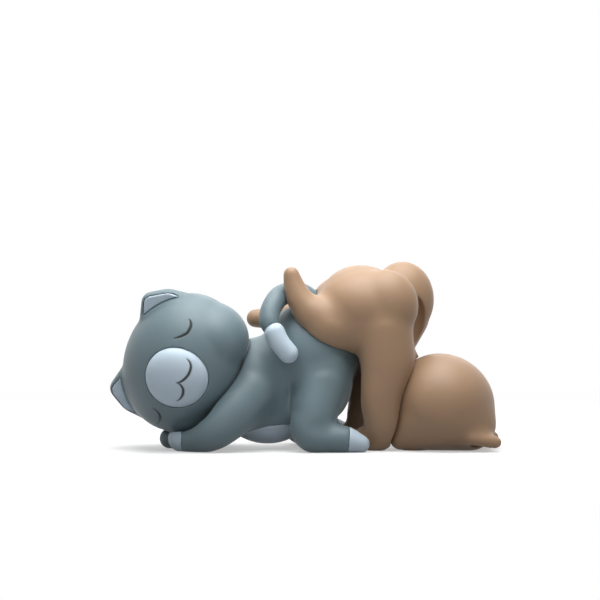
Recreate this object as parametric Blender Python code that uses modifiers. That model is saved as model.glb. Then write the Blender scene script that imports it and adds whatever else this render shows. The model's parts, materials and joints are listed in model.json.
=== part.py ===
"""Two sleeping vinyl cats, a grey one crouched with its cheek on its paws and a brown one draped over its rump.

Each cat is a hollow body moulding with a separate hollow head that turns on a flanged neck spool. The pale toes,
paw, muzzles, ear linings, belly panel and tail tip are mouldings of their own, plugged into seats. The brown cat
is a loose piece that lifts off the grey one.

Units are metres with +Z up. +X runs from the grey cat's head to the brown cat's head, and -Y faces the viewer.
Each cat is shaped in a frame of its own whose middle plane is y = 0, and is then turned about the vertical.
"""

import math

import bmesh
import bpy
import numpy as np
from mathutils import Matrix, Vector
from mathutils.bvhtree import BVHTree

MM = 0.001
WELD = 0.001 * MM  # points closer than this are one

# Clearances
SEAM_GAP = 0.3 * MM
TURNING_GAP = 0.5 * MM
NEST_GAP = 0.5 * MM

# Walls and plugs
BODY_WALL = 4.0 * MM
HEAD_WALL = 3.2 * MM
INLAY_DEPTH = 1.6 * MM  # how deep a muzzle or belly panel sits in its seat
PLUG_LENGTH = 4.0 * MM
PLUG_RADIUS = 2.4 * MM
PLUG_ROOT = 1.0 * MM  # how deep a plug is rooted in its tip

# Neck spools, shared by both heads
STEM_RADIUS = 6.0 * MM
FLANGE_RADIUS = 8.6 * MM
FLANGE_THICKNESS = 2.0 * MM
NECK_WALL = 2.6 * MM  # wall that each flange grips
SPOOL_BORE = 2.6 * MM
SPOOL_ROUND = 0.5 * MM
NECK_WELL = 12.0 * MM  # depth of the well in the body that the lower flange drops into

# Ears and tips
EAR_WEB = 0.4 * MM  # how far in front of an ear's middle its web stands
LINING_THICKNESS = 3.2 * MM
SPLIT_MARGIN = 1.0 * MM  # how far the box that parts a tip stands clear of it

# Grain of the voxels, rounding and triangle budgets of the blended forms
BODY_GRAIN = 1.5 * MM
HEAD_GRAIN = 1.5 * MM
TAIL_GRAIN = 0.9 * MM
ROOM_GRAIN = 2.5 * MM
ROUNDING_PASSES = 8
TAIL_PASSES = 4
ROOM_PASSES = 2
FILL_RADIUS = 5.0 * MM  # how round the creases between masses become
FILL_SHARE = 0.5  # how far each pass raises a hollow place towards its neighbours
GREY_BODY_TRIANGLES = 1680
BROWN_BODY_TRIANGLES = 1400
HEAD_TRIANGLES = 860
TAIL_TRIANGLES = 320
ROOM_TRIANGLES = 320

# Facets of the round forms
BALL_SIDES = 24
ROOM_SIDES = 16
PAD_SIDES = 16
ROD_SIDES = 24
SPOOL_SIDES = 20
HOLLOW_SIDES = 16
SWEEP_SIDES = 54
SWEEP_BANDS = 32
SWEEP_STEPS = 9
SHARP_ANGLE = math.radians(40)

# Place of the whole toy and size of the block under it, in millimetres
STAND_SHIFT = (0.384, -3.176, 0.0)
TABLE_REACH = 200

# A mass is (centre, half sizes) and a limb is a row of (x, y, z, radius), all in millimetres in the cat's frame

GREY_TURN = math.radians(6)
GREY_PIVOT = (0, 0, 0)
GREY_MASSES = {
    "chest": ((-25, 0, 33), (23, 22, 25)),
    "rump": ((2.5, 0, 49.5), (25.5, 26, 27)),
    "belly": ((-20, 0, 23), (25, 18, 20.5)),
    "nape": ((-33, 0, 34.5), (17, 17, 17)),
    "near haunch": ((7.6, -13, 37), (16.5, 14, 24)),
    "far haunch": ((7.6, 13, 37), (16.5, 14, 24)),
}
GREY_NEAR_ARM = [(-29, -12, 30, 14), (-40.5, -18, 19, 12), (-51, -19.5, 10.4, 10), (-58, -16, 7.4, 8.2),
                 (-66.5, -11, 6.3, 6.8)]
GREY_FAR_ARM = [(-29, 12, 30, 14), (-40.5, 18, 19, 12), (-51, 19.5, 10.4, 10), (-60, 15, 7.2, 7.6),
                (-70.5, 7, 5.2, 5.6)]
GREY_NEAR_LEG = [(6.5, -17, 34, 15), (2, -22, 19, 12), (0, -25, 10, 9.8), (8.5, -27, 7.2, 7.6),
                 (18, -28, 6.5, 7.2), (25.6, -28.3, 4.2, 4.9)]
GREY_TAIL = [(8, 2, 64, 6.6), (3, 0.5, 75, 6.5), (-3.5, -1, 80.5, 6), (-11.5, -7, 81, 5.6), (-18.5, -16, 76.5, 5.4),
             (-21.5, -22.5, 68, 5.3), (-17.5, -26, 59, 5.3), (-12, -27, 51.5, 5.2)]
GREY_BELLY_PANEL = ((-17, 0, 5), (21, 18.5, 14.5))

# A seam is a point that its plane passes through and the direction that its tip lies in, in the cat's frame
GREY_PAW_SEAM = ((-65, -11, 6.6), (-1, 0.25, 0))
GREY_NEAR_TOE_SEAM = ((19, -28, 6.6), (1, 0, -0.1))
GREY_FAR_TOE_SEAM = ((19, 28, 6.6), (1, 0, -0.1))
GREY_TAIL_TIP_SEAM = ((-21.3, -23.3, 66), (0.25, -0.2, -1))

BROWN_TURN = math.radians(-11.5)
BROWN_PIVOT = (34, 0, 0)
BROWN_MASSES = {
    "torso": ((29, 0, 75), (22.5, 21, 20.5)),
    "hip": ((20, 0, 76), (17, 18, 14)),
    "near flank": ((34, -14, 71), (18, 15.5, 18.5)),
    "near shoulder": ((44.5, -15, 75.5), (18.5, 14.5, 18.5)),
    "far shoulder": ((47, 18, 76.5), (16.5, 14.5, 20)),
}
BROWN_THROAT = ((55, 5, 60.5), (7, 10, 18.5))  # the hollow between the shoulders
BROWN_NECK = [(34, 0, 64, 16), (44, 0, 54, 12.5), (51, 1, 46, 10.8)]
BROWN_NEAR_ARM = [(43.5, -17.5, 64, 14), (45.5, -17.5, 45, 14), (43, -16, 26, 11.2), (41.5, -13.5, 13, 9.2),
                  (38, -12, 7, 7.6), (32.5, -11, 5.8, 6.4)]
BROWN_FAR_ARM = [(46, 18, 68, 15), (38, 19, 50, 13), (30.5, 18, 30, 11.2), (27.5, 15, 16, 9.5), (25, 12.5, 8, 8),
                 (20, 11, 6.2, 6.4)]
BROWN_NEAR_LEG = [(25, -12, 68, 18), (15.5, -19, 65.5, 14), (8.5, -22.5, 70.5, 10.2), (2.2, -24, 77, 7.4),
                  (-1.5, -24, 84, 6), (-3.6, -24, 91.5, 4.6)]
BROWN_FAR_LEG = [(20, 12, 70, 17), (5.5, 21, 69, 11.4), (-9.5, 28, 66.5, 7.8), (-22, 31, 64.7, 6), (-34, 31, 64.5, 5)]
BROWN_TAIL = [(16, 5, 76, 6), (7, 14, 77, 5.7), (-2.5, 25, 72, 5.3), (-6, 32, 59, 5), (-4, 34, 46, 4.8)]


class HeadSizes:
    """Sizes of one head in millimetres. x is towards its left ear, y to the back of the skull, z to its crown."""

    def __init__(self, centre, swing, lean, face_turn, skull, cheek, cheek_place, pads, neck_face, ear_depth,
                 ear_corners, ear_round, ear_back, hollow_corners, hollow_round, muzzle, muzzle_place):
        self.centre = centre
        self.swing = math.radians(swing)
        self.lean = math.radians(lean)
        self.face_turn = math.radians(face_turn)
        self.skull = skull
        self.cheek = cheek
        self.cheek_place = cheek_place
        self.pads = pads
        self.neck_face = neck_face
        self.ear_depth = ear_depth
        self.ear_corners = ear_corners
        self.ear_round = ear_round
        self.ear_back = ear_back
        self.hollow_corners = hollow_corners
        self.hollow_round = hollow_round
        self.muzzle = muzzle
        self.muzzle_place = muzzle_place


GREY_HEAD = HeadSizes(
    centre=(-63.8, 0, 45.2),
    swing=-6,
    lean=-70,
    face_turn=-15.7,
    skull=(35.5, 32, 31),
    cheek=(18, 22, 20.5),
    cheek_place=(17.5, -2, -8.5),
    pads=(),
    neck_face=28.4,
    ear_depth=0,
    ear_corners=((10, 22), (25.5, 26.3), (30.2, 18.8), (32.8, 7)),
    ear_round=(6.2, 5.7, 5.7, 5.9),
    ear_back=(20, 4, 14, 9),
    hollow_corners=((15, 24.5), (25.3, 26), (29.9, 18.7), (31.2, 12)),
    hollow_round=(2.8, 4.4, 4.4, 3.4),
    muzzle=(16.4, 9.5, 16.4),
    muzzle_place=(0.8, -26.2, 1.1),
)

# The brown head sleeps face down, so pads fill it out to the table
BROWN_HEAD = HeadSizes(
    centre=(72.5, 0, 24.8),
    swing=13,
    lean=122,
    face_turn=90,
    skull=(27, 24.4, 27),
    cheek=(13.5, 17, 15),
    cheek_place=(12.5, -1, -5),
    pads=((0, -23.1, -7, 9.2), (10, -13.3, 3, 10), (-10, -13.3, 3, 10), (6, -2.7, 17.2, 13.7),
          (-6, -2.7, 17.2, 13.7)),
    neck_face=24.6,
    ear_depth=-3,
    ear_corners=((9, 18), (17, 33), (21, 16), (20, 6)),
    ear_round=(5, 3.4, 4.6, 4.6),
    ear_back=(15, 2, 14, 7.5),
    hollow_corners=((10.5, 20), (16.8, 31), (18.6, 17)),
    hollow_round=(1.8, 1.6, 2.4),
    muzzle=(10.5, 12, 10.5),
    muzzle_place=(0, -22, -3),
)
GREY_HEAD_LIMIT = math.radians(25)  # its turn to either side
BROWN_HEAD_LIMIT = math.radians(6)  # less, as the arms and the ears stop it

# Material colours, linear
SLATE = (0.150, 0.190, 0.205)
PALE_BLUE = (0.46, 0.55, 0.62)
TAN = (0.300, 0.185, 0.115)
LIGHT_TAN = (0.34, 0.215, 0.14)
ACETAL = (0.55, 0.55, 0.53)


def in_metres(values):
    """Millimetre values as a Vector in metres."""
    return Vector(values) * MM


def clear_scene():
    for thing in list(bpy.data.objects):
        bpy.data.objects.remove(thing)


def new_collection(name):
    collection = bpy.data.collections.new(name)
    bpy.context.scene.collection.children.link(collection)
    return collection


clear_scene()
MODEL = new_collection("sleeping_cats")
CUTTERS = new_collection("cutters")


def vinyl(name, colour, roughness=0.5):
    """A plain Principled material."""
    material = bpy.data.materials.new(name)
    material.use_nodes = True
    shader = material.node_tree.nodes["Principled BSDF"]
    shader.inputs["Base Color"].default_value = (*colour, 1)
    shader.inputs["Roughness"].default_value = roughness
    shader.inputs["Metallic"].default_value = 0
    material.diffuse_color = (*colour, 1)
    return material


def empty(name, matrix, parent=None):
    """A frame that carries pieces."""
    holder = bpy.data.objects.new(name, None)
    MODEL.objects.link(holder)
    holder.parent = parent
    holder.matrix_basis = matrix
    return holder


def place(name, mesh, parent, collection=CUTTERS):
    """An object with this mesh, carried by a frame. In the cutters' collection it is a guide that isn't a piece."""
    thing = bpy.data.objects.new(name, mesh)
    collection.objects.link(thing)
    thing.parent = parent
    if collection is CUTTERS:
        thing.hide_render = True
        thing.display_type = "WIRE"
    return thing


def mesh_from(bm, name):
    mesh = bpy.data.meshes.new(name)
    bm.to_mesh(mesh)
    bm.free()
    return mesh


def evaluated_mesh(thing, name):
    """The mesh that an object's modifiers make, as plain data."""
    bpy.context.view_layer.update()
    graph = bpy.context.evaluated_depsgraph_get()
    mesh = bpy.data.meshes.new_from_object(thing.evaluated_get(graph))
    mesh.name = name
    return mesh


def shade(thing):
    thing.data.shade_smooth()
    thing.data.set_sharp_from_angle(angle=SHARP_ANGLE)


def add_ellipsoid(bm, centre, half_sizes, grow=0.0, segments=BALL_SIDES):
    """A ball stretched to three half sizes, in millimetres, grown by so many millimetres all round."""
    sizes = Vector(half_sizes) + Vector((grow, grow, grow))
    matrix = Matrix.Translation(in_metres(centre)) @ Matrix.Diagonal((*(sizes * MM), 1))
    bmesh.ops.create_uvsphere(bm, u_segments=segments, v_segments=segments // 2, radius=1, matrix=matrix)


def limb_mesh(stations):
    """A limb: a curve whose thickness follows its stations, with a ball at each end."""
    curve = bpy.data.curves.new("limb", "CURVE")
    curve.dimensions = "3D"
    curve.bevel_depth = MM
    curve.bevel_resolution = 5
    curve.use_fill_caps = True
    curve.resolution_u = 6
    spline = curve.splines.new("BEZIER")
    spline.bezier_points.add(len(stations) - 1)
    for point, (x, y, z, radius) in zip(spline.bezier_points, stations):
        point.co = in_metres((x, y, z))
        point.radius = radius
        point.handle_left_type = "AUTO"
        point.handle_right_type = "AUTO"
    guide = bpy.data.objects.new("limb", curve)
    CUTTERS.objects.link(guide)
    mesh = evaluated_mesh(guide, "limb")
    bpy.data.objects.remove(guide)
    bm = bmesh.new()
    bm.from_mesh(mesh)
    bmesh.ops.remove_doubles(bm, verts=bm.verts, dist=WELD)
    for x, y, z, radius in (stations[0], stations[-1]):
        add_ellipsoid(bm, (x, y, z), (radius, radius, radius))
    return mesh_from(bm, "limb")


def mirrored(stations):
    """The same limb on the cat's other side."""
    return [(x, -y, z, radius) for x, y, z, radius in stations]


def blend(name, parent, masses, limbs, grain, triangles, passes=ROUNDING_PASSES):
    """One smooth closed skin round masses and limbs that run into each other."""
    bm = bmesh.new()
    for centre, half_sizes in masses:
        add_ellipsoid(bm, centre, half_sizes)
    for stations in limbs:
        bm.from_mesh(limb_mesh(stations))
    return melt(name, parent, bm, grain, triangles, passes)


def fill_creases(mesh, grain):
    """Raise the hollow places of a dense skin until its creases are round. Places that stand out stay."""
    count = len(mesh.vertices)
    points = np.empty(count * 3)
    mesh.vertices.foreach_get("co", points)
    points = points.reshape(-1, 3)
    ends = np.empty(len(mesh.edges) * 2, dtype=np.int64)
    mesh.edges.foreach_get("vertices", ends)
    ends = ends.reshape(-1, 2)
    here = np.concatenate((ends[:, 0], ends[:, 1]))
    there = np.concatenate((ends[:, 1], ends[:, 0]))
    neighbours = np.bincount(here, minlength=count)[:, None]
    normals = np.empty(count * 3)
    for turn in range(round(2 * (FILL_RADIUS / grain) ** 2)):
        mesh.vertices.foreach_get("normal", normals)
        outwards = normals.reshape(-1, 3)
        mean = np.stack([np.bincount(here, points[there, axis], count) for axis in range(3)], axis=1) / neighbours
        lift = np.clip(((mean - points) * outwards).sum(axis=1, keepdims=True), 0, None)
        points = points + FILL_SHARE * lift * outwards
        mesh.vertices.foreach_set("co", points.ravel())
        mesh.update()


def melt(name, parent, bm, grain, triangles, passes=ROUNDING_PASSES):
    """Fuse overlapping closed shapes, round the places where they meet, and thin out the triangles."""
    raw = place(name + "_raw", mesh_from(bm, name), None)
    fuse = raw.modifiers.new("fuse", "REMESH")
    fuse.mode = "VOXEL"
    fuse.voxel_size = grain
    fuse.use_smooth_shade = True
    relax = raw.modifiers.new("relax", "SMOOTH")
    relax.factor = 0.5
    relax.iterations = passes
    dense = evaluated_mesh(raw, name)
    bpy.data.objects.remove(raw)
    fill_creases(dense, grain)
    thinned = place(name + "_dense", dense, None)
    thin = thinned.modifiers.new("thin", "DECIMATE")
    thin.ratio = min(1.0, triangles / (2 * len(dense.polygons)))
    mesh = evaluated_mesh(thinned, name)
    bpy.data.objects.remove(thinned)
    bm = bmesh.new()
    bm.from_mesh(mesh)
    bmesh.ops.triangulate(bm, faces=bm.faces)
    bmesh.ops.recalc_face_normals(bm, faces=bm.faces)
    skin = place(name, mesh_from(bm, name), parent)
    shade(skin)
    return skin


def grown(name, source, gap):
    """A cutter: the source's shape, a gap larger all round."""
    cutter = place(name, source.data, source.parent)
    swell = cutter.modifiers.new("swell", "DISPLACE")
    swell.strength = gap
    swell.mid_level = 0
    return cutter


def boolean(target, other, operation="DIFFERENCE"):
    step = target.modifiers.new(operation.lower() + " " + other.name, "BOOLEAN")
    step.operation = operation
    step.object = other
    step.solver = "EXACT"
    return step


def block(name, parent, low, high):
    """A box between two corners, in millimetres."""
    bm = bmesh.new()
    size = in_metres(high) - in_metres(low)
    middle = (in_metres(high) + in_metres(low)) / 2
    bmesh.ops.create_cube(bm, size=1, matrix=Matrix.Translation(middle) @ Matrix.Diagonal((*size, 1)))
    return place(name, mesh_from(bm, name), parent)


def ellipsoid(name, parent, centre, half_sizes, grow=0.0, segments=BALL_SIDES):
    bm = bmesh.new()
    add_ellipsoid(bm, centre, half_sizes, grow, segments)
    return place(name, mesh_from(bm, name), parent)


def rod(name, parent, start, end, radius):
    """A cylinder between two points. All in metres."""
    axis = Vector(end) - Vector(start)
    turn = axis.to_track_quat("Z", "Y").to_matrix().to_4x4()
    matrix = Matrix.Translation((Vector(start) + Vector(end)) / 2) @ turn
    bm = bmesh.new()
    bmesh.ops.create_cone(bm, cap_ends=True, segments=ROD_SIDES, radius1=radius, radius2=radius, depth=axis.length,
                          matrix=matrix)
    return place(name, mesh_from(bm, name), parent)


def piece(name, mesh, parent, material):
    """A finished piece of the toy."""
    thing = place(name, mesh, parent, MODEL)
    thing.data.materials.clear()
    thing.data.materials.append(material)
    return thing


def beyond_box(name, parent, point, outward, length, width):
    """A box that stands on a plane through a point, on the plane's outer side. All in metres."""
    turn = outward.to_track_quat("Z", "Y").to_matrix().to_4x4()
    lift = Matrix.Translation((0, 0, length / 2))
    bm = bmesh.new()
    bmesh.ops.create_cube(bm, size=1, matrix=Matrix.Translation(point) @ turn @ lift @ Matrix.Diagonal(
        (width, width, length, 1)))
    return place(name, mesh_from(bm, name), parent)


def split_tip(name, skin, trunk, material, seam_plane, stations):
    """Part a tip from a limb: the tip keeps its outer form and gains a plug, and the trunk gains the socket."""
    seam = in_metres(seam_plane[0])
    outward = Vector(seam_plane[1]).normalized()
    end = in_metres(stations[-1][:3]) - seam
    radius = max(station[3] for station in stations[-2:]) * MM
    length = end.dot(outward) + radius + SPLIT_MARGIN
    width = 2 * (end.cross(outward).length + radius + SPLIT_MARGIN)
    beyond = beyond_box(name + "_beyond", skin.parent, seam, outward, length, width)
    beyond_gap = beyond_box(name + "_beyond_gap", skin.parent, seam - outward * SEAM_GAP, outward,
                            length + SEAM_GAP, width)
    deep = seam - outward * PLUG_LENGTH
    plug = rod(name + "_plug", skin.parent, deep, seam + outward * PLUG_ROOT, PLUG_RADIUS)
    socket = rod(name + "_socket", skin.parent, deep - outward * SEAM_GAP, seam + outward * PLUG_ROOT,
                 PLUG_RADIUS + SEAM_GAP)
    tip = piece(name, skin.data.copy(), skin.parent, material)
    boolean(tip, beyond, "INTERSECT")
    boolean(tip, plug, "UNION")
    boolean(trunk, beyond_gap)
    boolean(trunk, socket)
    return tip


def hollow(name, parent, masses):
    """The space inside a body: its masses less the wall, fused into one."""
    bm = bmesh.new()
    for centre, half_sizes in masses:
        add_ellipsoid(bm, centre, half_sizes, grow=-BODY_WALL / MM)
    return melt(name, parent, bm, ROOM_GRAIN, ROOM_TRIANGLES, passes=ROOM_PASSES)


def head_frame(name, sizes, cat):
    """A frame at the head's centre. Its z axis is the neck's own axis, which the head turns on."""
    swing = Matrix.Rotation(sizes.swing, 4, "Z")
    lean = Matrix.Rotation(sizes.lean, 4, "Y")
    face = Matrix.Rotation(sizes.face_turn, 4, "Z")
    return empty(name, Matrix.Translation(in_metres(sizes.centre)) @ swing @ lean @ face, cat)


def wrap(points):
    """The tight skin round a cloud of points."""
    bm = bmesh.new()
    for point in points:
        bm.verts.new(point)
    hull = bmesh.ops.convex_hull(bm, input=bm.verts)
    inner = [item for item in hull["geom_interior"] if isinstance(item, bmesh.types.BMVert)]
    bmesh.ops.delete(bm, geom=inner, context="VERTS")
    bmesh.ops.recalc_face_normals(bm, faces=bm.faces)
    return bm


def ball_points(centre, radius):
    """Points all over a ball that is given in millimetres."""
    points = []
    rings = PAD_SIDES // 2
    for ring in range(rings + 1):
        slope = math.pi * ring / rings
        for step in range(PAD_SIDES):
            turn = math.tau * step / PAD_SIDES
            offset = Vector((math.sin(slope) * math.cos(turn), math.sin(slope) * math.sin(turn), math.cos(slope)))
            points.append(in_metres(centre) + offset * radius * MM)
    return points


def ear_points(sizes, side):
    """Balls at an ear's corners, with one behind them that swells its back."""
    points = []
    for (x, z), radius in zip(sizes.ear_corners, sizes.ear_round):
        points += ball_points((side * x, sizes.ear_depth, z), radius)
    x, y, z, radius = sizes.ear_back
    points += ball_points((side * x, sizes.ear_depth + y, z), radius)
    return points


def ear_prism(name, frame, sizes, side, shrink, front, back):
    """The hollow in front of an ear, drawn in all round by so much, between two depths. Depths are in metres."""
    points = []
    for (x, z), radius in zip(sizes.hollow_corners, sizes.hollow_round):
        middle = in_metres((side * x, sizes.ear_depth, z))
        reach = radius * MM - shrink
        for step in range(HOLLOW_SIDES):
            turn = math.tau * step / HOLLOW_SIDES
            for depth in (front, back):
                points.append(middle + Vector((reach * math.cos(turn), depth, reach * math.sin(turn))))
    return place(name, mesh_from(wrap(points), name), frame)


def spool(name, frame, head_face, material):
    """A neck spool: a stem with a flange at each end, turned about the frame's z axis."""
    top = -head_face * MM + NECK_WALL + SEAM_GAP + FLANGE_THICKNESS
    bottom = -head_face * MM - TURNING_GAP - NECK_WALL - SEAM_GAP - FLANGE_THICKNESS
    under_top = top - FLANGE_THICKNESS
    over_bottom = bottom + FLANGE_THICKNESS
    profile = [
        (SPOOL_BORE, top),
        (FLANGE_RADIUS - SPOOL_ROUND, top),
        (FLANGE_RADIUS, top - SPOOL_ROUND),
        (FLANGE_RADIUS, under_top),
        (STEM_RADIUS, under_top),
        (STEM_RADIUS, over_bottom),
        (FLANGE_RADIUS, over_bottom),
        (FLANGE_RADIUS, bottom + SPOOL_ROUND),
        (FLANGE_RADIUS - SPOOL_ROUND, bottom),
        (SPOOL_BORE, bottom),
    ]
    bm = bmesh.new()
    ring = [bm.verts.new((radius, 0, z)) for radius, z in profile]
    for first, second in zip(ring, ring[1:] + ring[:1]):
        bm.edges.new((first, second))
    turned = piece(name, mesh_from(bm, name), frame, material)
    screw = turned.modifiers.new("turn", "SCREW")
    screw.steps = SPOOL_SIDES
    screw.render_steps = SPOOL_SIDES
    screw.use_merge_vertices = True
    screw.merge_threshold = WELD
    screw.use_smooth_shade = False
    return turned


def neck_cutters(name, frame, head_face):
    """What a neck takes out of a head and a body: the hole for the stem and the wells for the two flanges."""
    face = -head_face * MM
    hole = rod(name + "_hole", frame, (0, 0, face - NECK_WALL * 2), (0, 0, face + NECK_WALL * 2),
               STEM_RADIUS + SEAM_GAP)
    well_radius = FLANGE_RADIUS + TURNING_GAP
    upper_floor = face + NECK_WALL
    upper = rod(name + "_upper_well", frame, (0, 0, upper_floor),
                (0, 0, upper_floor + FLANGE_THICKNESS + 2 * TURNING_GAP), well_radius)
    lower_roof = face - TURNING_GAP - NECK_WALL
    lower = rod(name + "_lower_well", frame, (0, 0, lower_roof), (0, 0, lower_roof - NECK_WELL), well_radius)
    return hole, upper, lower


def swept_room(name, frame, mesh, limit):
    """The room that a head needs to turn to a limit either way: its widest reach on each side, plus a gap."""
    finder = BVHTree.FromPolygons([v.co for v in mesh.vertices], [p.vertices for p in mesh.polygons])
    low = min(vertex.co.z for vertex in mesh.vertices)
    high = max(vertex.co.z for vertex in mesh.vertices)
    levels = [(low + high - (high - low) * math.cos(math.pi * band / SWEEP_BANDS)) / 2
              for band in range(SWEEP_BANDS + 1)]
    outside = 2 * max(vertex.co.xy.length for vertex in mesh.vertices)
    widest = limit + math.pi / SWEEP_SIDES
    turns = [widest * (2 * step / (SWEEP_STEPS - 1) - 1) for step in range(SWEEP_STEPS)]

    def reach(angle, level):
        way = Vector((math.cos(angle), math.sin(angle), 0))
        hit = finder.ray_cast(way * outside + Vector((0, 0, level)), -way)[0]
        return hit.xy.length if hit else 0.0

    bm = bmesh.new()
    rings = []
    for below, level, above in zip([low] + levels, levels, levels[1:] + [high]):
        heights = ((below + level) / 2, level, (level + above) / 2)
        ring = []
        for side in range(SWEEP_SIDES):
            angle = math.tau * side / SWEEP_SIDES
            radius = max(reach(angle + turn, height) for turn in turns for height in heights) + TURNING_GAP
            ring.append(bm.verts.new((radius * math.cos(angle), radius * math.sin(angle), level)))
        rings.append(ring)
    for lower, upper in zip(rings, rings[1:]):
        for side in range(SWEEP_SIDES):
            after = (side + 1) % SWEEP_SIDES
            bm.faces.new((lower[side], lower[after], upper[after], upper[side]))
    for ring, level in ((rings[0], low - TURNING_GAP), (rings[-1], high + TURNING_GAP)):
        tip = bm.verts.new((0, 0, level))
        for side in range(SWEEP_SIDES):
            bm.faces.new((ring[side], ring[(side + 1) % SWEEP_SIDES], tip))
    bmesh.ops.recalc_face_normals(bm, faces=bm.faces)
    return place(name, mesh_from(bm, name), frame)


def head_skin(name, frame, sizes):
    """The outer form of a head with its ears, before anything is cut."""
    x, y, z = sizes.cheek_place
    bm = bmesh.new()
    add_ellipsoid(bm, (0, 0, 0), sizes.skull)
    add_ellipsoid(bm, (x, y, z), sizes.cheek)
    add_ellipsoid(bm, (-x, y, z), sizes.cheek)
    for side in (1, -1):
        bm.from_mesh(mesh_from(wrap(ear_points(sizes, side)), "ear"))
    if sizes.pads:
        points = []
        for px, py, pz, radius in sizes.pads:
            points += ball_points((px, py, pz), radius)
        bm.from_mesh(mesh_from(wrap(points), "pads"))
    return melt(name, frame, bm, HEAD_GRAIN, HEAD_TRIANGLES)


def build_head(prefix, frame, skin, sizes, skin_colour, pale_colour, inner_material):
    """A hollow head with its muzzle, ear linings and neck spool. Gives the neck's cutters for the body."""
    head = piece(prefix + "_head", skin.data.copy(), frame, skin_colour)
    reach = max(sizes.skull) * 2
    below_neck = block(prefix + "_below_neck", frame, (-reach, -reach, -reach), (reach, reach, -sizes.neck_face))
    boolean(head, below_neck)

    bed = ellipsoid(prefix + "_muzzle_bed", frame, (0, 0, 0), sizes.skull, grow=-INLAY_DEPTH / MM)
    seat = ellipsoid(prefix + "_muzzle_seat", frame, sizes.muzzle_place, sizes.muzzle, grow=SEAM_GAP / MM)
    boolean(seat, bed)
    boolean(head, seat)
    bed_gap = ellipsoid(prefix + "_muzzle_bed_gap", frame, (0, 0, 0), sizes.skull,
                        grow=(SEAM_GAP - INLAY_DEPTH) / MM)
    dome = ellipsoid(prefix + "_muzzle_dome", frame, sizes.muzzle_place, sizes.muzzle)
    muzzle = piece(prefix + "_muzzle", dome.data.copy(), frame, pale_colour)
    boolean(muzzle, bed_gap)

    skull_gap = ellipsoid(prefix + "_skull_gap", frame, (0, 0, 0), sizes.skull, grow=SEAM_GAP / MM)
    skull_line = ellipsoid(prefix + "_skull_line", frame, (0, 0, 0), sizes.skull)
    for side, word in ((1, "left"), (-1, "right")):
        pocket = ear_prism(prefix + "_" + word + "_ear_pocket", frame, sizes, side, 0, -reach * MM, -EAR_WEB)
        boolean(pocket, skull_line)
        boolean(head, pocket)
        lining_shape = ear_prism(prefix + "_" + word + "_ear_lining_shape", frame, sizes, side, SEAM_GAP,
                                 -EAR_WEB - LINING_THICKNESS, -EAR_WEB - SEAM_GAP)
        lining = piece(prefix + "_" + word + "_ear_lining", lining_shape.data.copy(), frame, pale_colour)
        boolean(lining, skull_gap)

    room = ellipsoid(prefix + "_head_room", frame, (0, 0, 0), sizes.skull, grow=-HEAD_WALL / MM, segments=ROOM_SIDES)
    floor = block(prefix + "_head_room_floor", frame, (-reach, -reach, -reach),
                  (reach, reach, NECK_WALL / MM - sizes.neck_face))
    boolean(room, floor)
    boolean(head, room)
    hole, upper_well, lower_well = neck_cutters(prefix + "_neck", frame, sizes.neck_face)
    boolean(head, upper_well)
    boolean(head, hole)
    shade(head)
    spool(prefix + "_neck_spool", frame, sizes.neck_face, inner_material)
    return [hole, lower_well]


def clear_head(body, frame, sizes, room):
    """Cut the room that a head turns in out of a body, all but the boss that its neck stands on."""
    reach = max(sizes.skull) * 2
    boss = block(body.name + "_neck_boss", frame, (-reach, -reach, -reach),
                 (reach, reach, -sizes.neck_face - TURNING_GAP / MM))
    boolean(room, boss)
    boolean(body, room)


def tail_skin(name, cat, stations):
    """A tail's outer form."""
    return blend(name, cat, [], [stations], TAIL_GRAIN, TAIL_TRIANGLES, TAIL_PASSES)


def turned_about(angle, pivot):
    """A turn about the vertical through a point given in millimetres."""
    spot = Matrix.Translation(in_metres(pivot))
    return spot @ Matrix.Rotation(angle, 4, "Z") @ spot.inverted()


def build_grey_cat(grey, slate, pale_blue, acetal):
    """The lower cat. Gives its body's and its tail's skin, which the upper cat is nested on."""
    skin = blend("grey_body_skin", grey, GREY_MASSES.values(),
                 [GREY_NEAR_ARM, GREY_FAR_ARM, GREY_NEAR_LEG, mirrored(GREY_NEAR_LEG)], BODY_GRAIN, GREY_BODY_TRIANGLES)
    tail_form = tail_skin("grey_tail_skin", grey, GREY_TAIL)
    body = piece("grey_body", skin.data.copy(), grey, slate)

    frame = head_frame("grey_head_frame", GREY_HEAD, grey)
    head_form = head_skin("grey_head_skin", frame, GREY_HEAD)
    neck = build_head("grey", frame, head_form, GREY_HEAD, slate, pale_blue, acetal)
    room = swept_room("grey_head_room_swept", frame, head_form.data, GREY_HEAD_LIMIT)
    clear_head(body, frame, GREY_HEAD, room)
    for cutter in neck:
        boolean(body, cutter)
    boolean(body, grown("grey_tail_socket", tail_form, SEAM_GAP))
    boolean(body, hollow("grey_body_room", grey, [GREY_MASSES["chest"], GREY_MASSES["rump"]]))

    paw = split_tip("grey_near_paw", skin, body, pale_blue, GREY_PAW_SEAM, GREY_NEAR_ARM)
    boolean(paw, room)
    split_tip("grey_near_toe", skin, body, pale_blue, GREY_NEAR_TOE_SEAM, GREY_NEAR_LEG)
    split_tip("grey_far_toe", skin, body, pale_blue, GREY_FAR_TOE_SEAM, mirrored(GREY_NEAR_LEG))

    tail = piece("grey_tail", tail_form.data.copy(), grey, slate)
    split_tip("grey_tail_tip", tail_form, tail, pale_blue, GREY_TAIL_TIP_SEAM, GREY_TAIL)
    shade(body)
    shade(tail)

    lens_centre, lens_sizes = GREY_BELLY_PANEL
    boolean(body, ellipsoid("grey_belly_panel_seat", grey, lens_centre, lens_sizes, grow=SEAM_GAP / MM))
    panel = piece("grey_belly_panel", skin.data.copy(), grey, pale_blue)
    boolean(panel, ellipsoid("grey_belly_panel_shape", grey, lens_centre, lens_sizes), "INTERSECT")
    shade(panel)
    return skin, tail_form


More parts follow.
